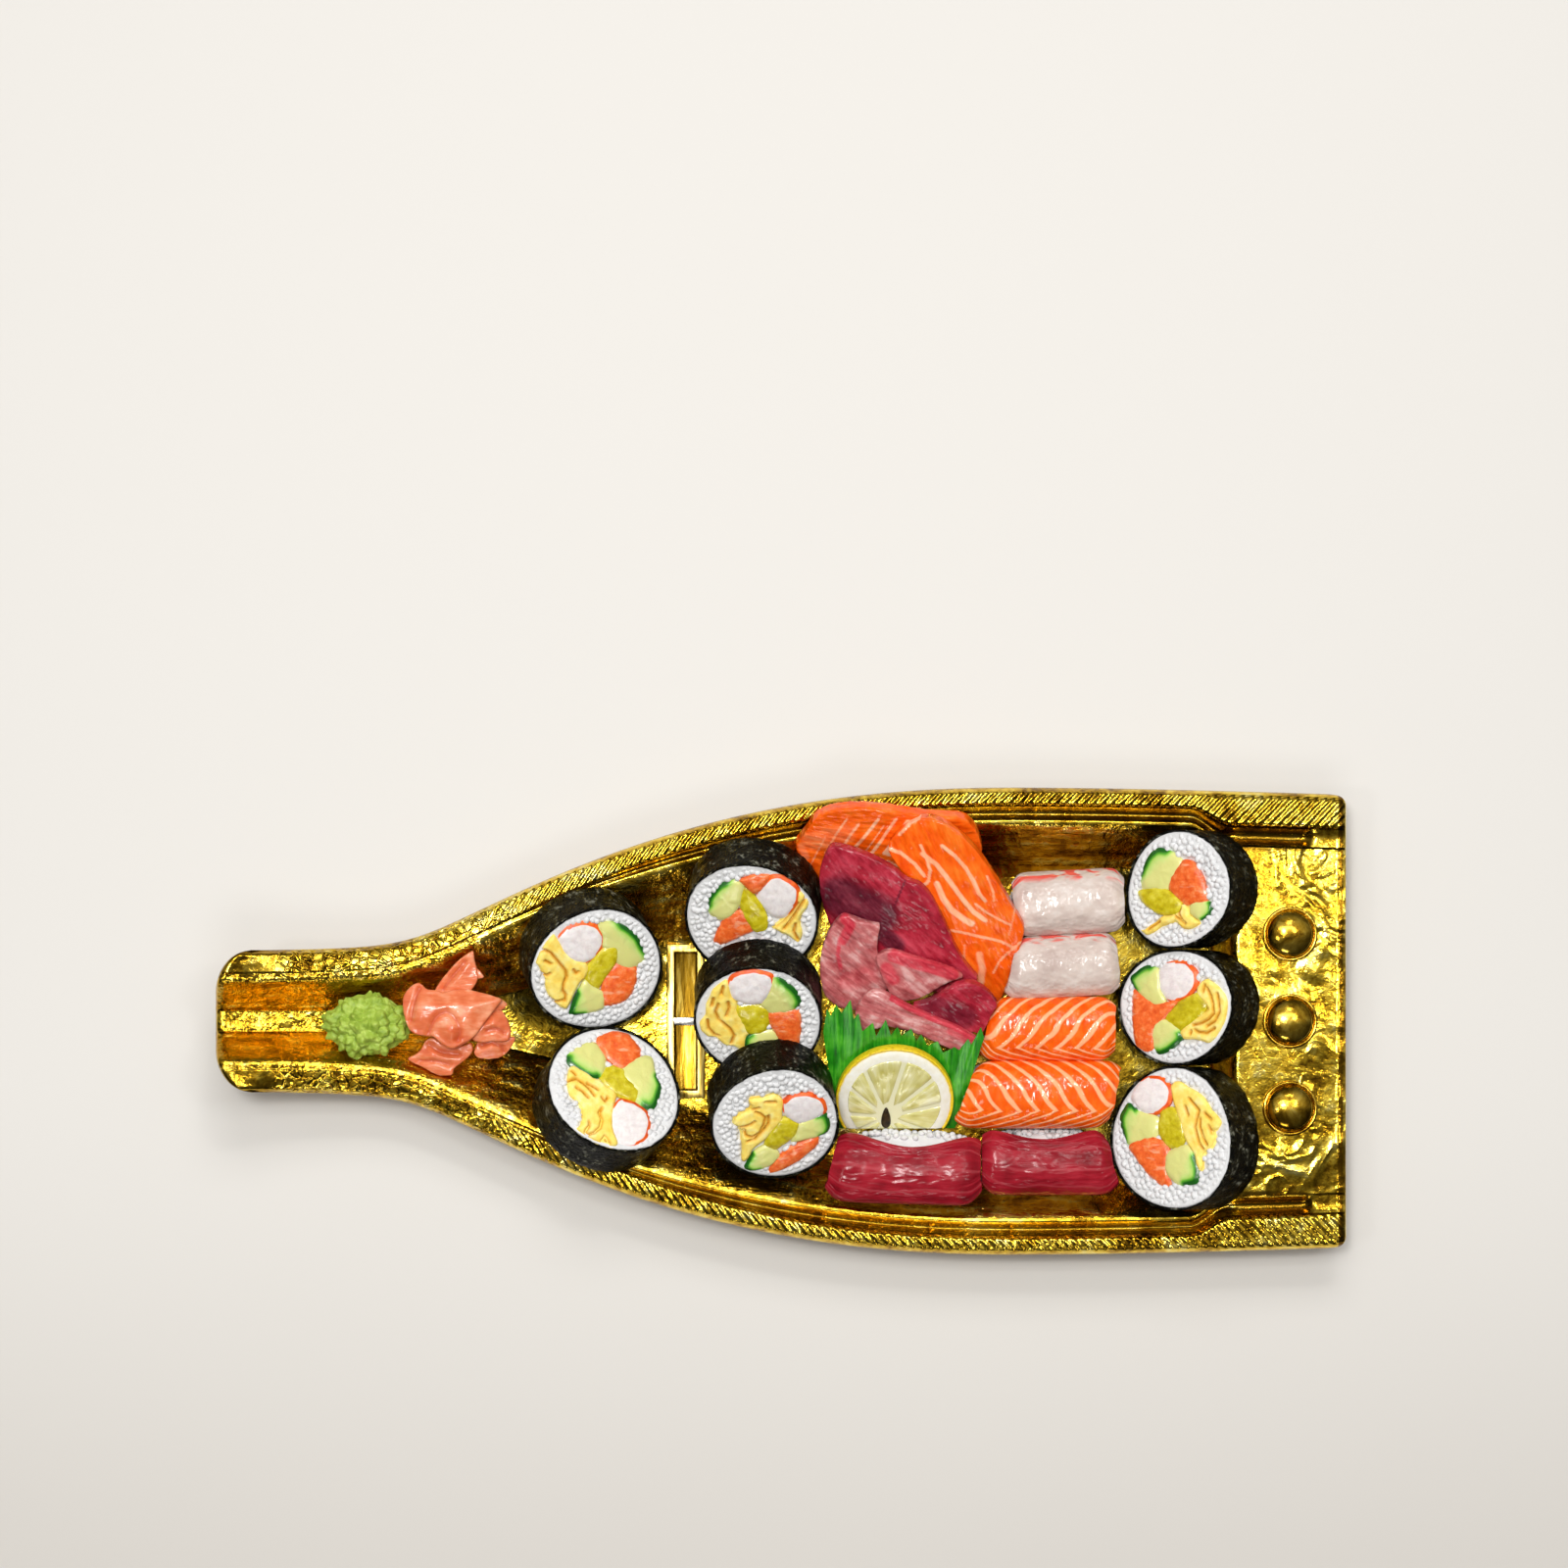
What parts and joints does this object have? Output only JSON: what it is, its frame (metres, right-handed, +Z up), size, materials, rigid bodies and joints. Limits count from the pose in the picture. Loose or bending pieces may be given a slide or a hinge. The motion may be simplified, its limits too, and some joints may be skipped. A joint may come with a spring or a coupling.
{
  "type": "sushi boat",
  "caption": "Boat-shaped gold serving tray with a narrow bow channel and a square stern deck, loaded with sushi rolls, nigiri, sashimi slices and garnish.",
  "frame": {"origin": "under the middle of the tray, on the plane that the hull floor rests on", "axes": "+X from bow to stern, +Y to port, +Z up out of the tray"},
  "size_m": [0.42, 0.1746, 0.0505],
  "materials": {
    "gold": "thin metallised gold film on formed plastic sheet, embossed",
    "nori": "dry dark green-black seaweed sheet",
    "rice": "moist cooked rice",
    "filling": "egg, crab stick, cucumber, pickled radish and salmon in one core",
    "salmon": "moist orange fish with white lines",
    "tuna": "moist dark red fish",
    "bream": "moist pale fish with pink edge",
    "yellowtail": "moist greyish pink fish with red edge",
    "wasabi": "lumpy green paste",
    "ginger": "moist thin pink slices",
    "leaf": "thin green plastic film",
    "lemon_flesh": "moist segments",
    "lemon_rind": "yellow zest over white pith"
  },
  "bodies": {
    "tray": {"tray": "gold"},
    "roll_bow_port": {"roll_bow_port_nori": "nori", "roll_bow_port_rice": "rice", "roll_bow_port_filling": "filling"},
    "roll_bow_starboard": {"roll_bow_starboard_nori": "nori", "roll_bow_starboard_rice": "rice", "roll_bow_starboard_filling": "filling"},
    "roll_mid_port": {"roll_mid_port_nori": "nori", "roll_mid_port_rice": "rice", "roll_mid_port_filling": "filling"},
    "roll_mid_centre": {"roll_mid_centre_nori": "nori", "roll_mid_centre_rice": "rice", "roll_mid_centre_filling": "filling"},
    "roll_mid_starboard": {"roll_mid_starboard_nori": "nori", "roll_mid_starboard_rice": "rice", "roll_mid_starboard_filling": "filling"},
    "roll_stern_port": {"roll_stern_port_nori": "nori", "roll_stern_port_rice": "rice", "roll_stern_port_filling": "filling"},
    "roll_stern_centre": {"roll_stern_centre_nori": "nori", "roll_stern_centre_rice": "rice", "roll_stern_centre_filling": "filling"},
    "roll_stern_starboard": {"roll_stern_starboard_nori": "nori", "roll_stern_starboard_rice": "rice", "roll_stern_starboard_filling": "filling"},
    "nigiri_bream_outer": {"nigiri_bream_outer_rice": "rice", "nigiri_bream_outer_slice": "bream"},
    "nigiri_bream_inner": {"nigiri_bream_inner_rice": "rice", "nigiri_bream_inner_slice": "bream"},
    "nigiri_salmon_inner": {"nigiri_salmon_inner_rice": "rice", "nigiri_salmon_inner_slice": "salmon"},
    "nigiri_salmon_outer": {"nigiri_salmon_outer_rice": "rice", "nigiri_salmon_outer_slice": "salmon"},
    "nigiri_tuna_fore": {"nigiri_tuna_fore_rice": "rice", "nigiri_tuna_fore_slice": "tuna"},
    "nigiri_tuna_aft": {"nigiri_tuna_aft_rice": "rice", "nigiri_tuna_aft_slice": "tuna"},
    "salmon_slice_outer": {"salmon_slice_outer": "salmon"},
    "salmon_slice_inner": {"salmon_slice_inner": "salmon"},
    "tuna_slice_outer": {"tuna_slice_outer": "tuna"},
    "yellowtail_slice_outer": {"yellowtail_slice_outer": "yellowtail"},
    "tuna_slice_inner": {"tuna_slice_inner": "tuna"},
    "yellowtail_slice_inner": {"yellowtail_slice_inner": "yellowtail"},
    "leaf_divider": {"leaf_divider": "leaf"},
    "lemon": {"lemon_rind": "lemon_rind", "lemon_flesh": "lemon_flesh"},
    "wasabi": {"wasabi": "wasabi"},
    "ginger_petal_lower": {"ginger_petal_lower": "ginger"},
    "ginger_fold": {"ginger_fold": "ginger"},
    "ginger_petal_upper": {"ginger_petal_upper": "ginger"}
  },
  "joints": [
    {"name": "roll_bow_port_lift", "type": "slide", "parent": "tray", "child": "roll_bow_port", "axis": [0, 0, 1], "range_m": [0, 0.06]},
    {"name": "roll_bow_starboard_lift", "type": "slide", "parent": "tray", "child": "roll_bow_starboard", "axis": [0, 0, 1], "range_m": [0, 0.06]},
    {"name": "roll_mid_port_lift", "type": "slide", "parent": "tray", "child": "roll_mid_port", "axis": [0, 0, 1], "range_m": [0, 0.06]},
    {"name": "roll_mid_centre_lift", "type": "slide", "parent": "roll_mid_port", "child": "roll_mid_centre", "axis": [0, 0, 1], "range_m": [0, 0.06]},
    {"name": "roll_mid_starboard_lift", "type": "slide", "parent": "roll_mid_centre", "child": "roll_mid_starboard", "axis": [0, 0, 1], "range_m": [0, 0.06]},
    {"name": "roll_stern_port_lift", "type": "slide", "parent": "tray", "child": "roll_stern_port", "axis": [0, 0, 1], "range_m": [0, 0.06]},
    {"name": "roll_stern_centre_lift", "type": "slide", "parent": "tray", "child": "roll_stern_centre", "axis": [0, 0, 1], "range_m": [0, 0.06]},
    {"name": "roll_stern_starboard_lift", "type": "slide", "parent": "tray", "child": "roll_stern_starboard", "axis": [0, 0, 1], "range_m": [0, 0.06]},
    {"name": "nigiri_bream_outer_lift", "type": "slide", "parent": "tray", "child": "nigiri_bream_outer", "axis": [0, 0, 1], "range_m": [0, 0.06]},
    {"name": "nigiri_bream_inner_lift", "type": "slide", "parent": "tray", "child": "nigiri_bream_inner", "axis": [0, 0, 1], "range_m": [0, 0.06]},
    {"name": "nigiri_salmon_inner_lift", "type": "slide", "parent": "tray", "child": "nigiri_salmon_inner", "axis": [0, 0, 1], "range_m": [0, 0.06]},
    {"name": "nigiri_salmon_outer_lift", "type": "slide", "parent": "tray", "child": "nigiri_salmon_outer", "axis": [0, 0, 1], "range_m": [0, 0.06]},
    {"name": "nigiri_tuna_fore_lift", "type": "slide", "parent": "tray", "child": "nigiri_tuna_fore", "axis": [0, 0, 1], "range_m": [0, 0.06]},
    {"name": "nigiri_tuna_aft_lift", "type": "slide", "parent": "tray", "child": "nigiri_tuna_aft", "axis": [0, 0, 1], "range_m": [0, 0.06]},
    {"name": "salmon_slice_outer_lift", "type": "slide", "parent": "tray", "child": "salmon_slice_outer", "axis": [0, 0, 1], "range_m": [0, 0.06]},
    {"name": "salmon_slice_inner_lift", "type": "slide", "parent": "salmon_slice_outer", "child": "salmon_slice_inner", "axis": [0, 0, 1], "range_m": [0, 0.06]},
    {"name": "tuna_slice_outer_lift", "type": "slide", "parent": "salmon_slice_inner", "child": "tuna_slice_outer", "axis": [0, 0, 1], "range_m": [0, 0.06]},
    {"name": "yellowtail_slice_outer_lift", "type": "slide", "parent": "tuna_slice_outer", "child": "yellowtail_slice_outer", "axis": [0, 0, 1], "range_m": [0, 0.06]},
    {"name": "tuna_slice_inner_lift", "type": "slide", "parent": "yellowtail_slice_outer", "child": "tuna_slice_inner", "axis": [0, 0, 1], "range_m": [0, 0.06]},
    {"name": "yellowtail_slice_inner_lift", "type": "slide", "parent": "tuna_slice_inner", "child": "yellowtail_slice_inner", "axis": [0, 0, 1], "range_m": [0, 0.06]},
    {"name": "leaf_divider_lift", "type": "slide", "parent": "yellowtail_slice_inner", "child": "leaf_divider", "axis": [0, 0, 1], "range_m": [0, 0.06]},
    {"name": "lemon_lift", "type": "slide", "parent": "leaf_divider", "child": "lemon", "axis": [0, 0, 1], "range_m": [0, 0.06]},
    {"name": "wasabi_lift", "type": "slide", "parent": "tray", "child": "wasabi", "axis": [0, 0, 1], "range_m": [0, 0.06]},
    {"name": "ginger_petal_lower_lift", "type": "slide", "parent": "tray", "child": "ginger_petal_lower", "axis": [0, 0, 1], "range_m": [0, 0.06]},
    {"name": "ginger_fold_lift", "type": "slide", "parent": "ginger_petal_lower", "child": "ginger_fold", "axis": [0, 0, 1], "range_m": [0, 0.06]},
    {"name": "ginger_petal_upper_lift", "type": "slide", "parent": "ginger_fold", "child": "ginger_petal_upper", "axis": [0, 0, 1], "range_m": [0, 0.06]}
  ]
}
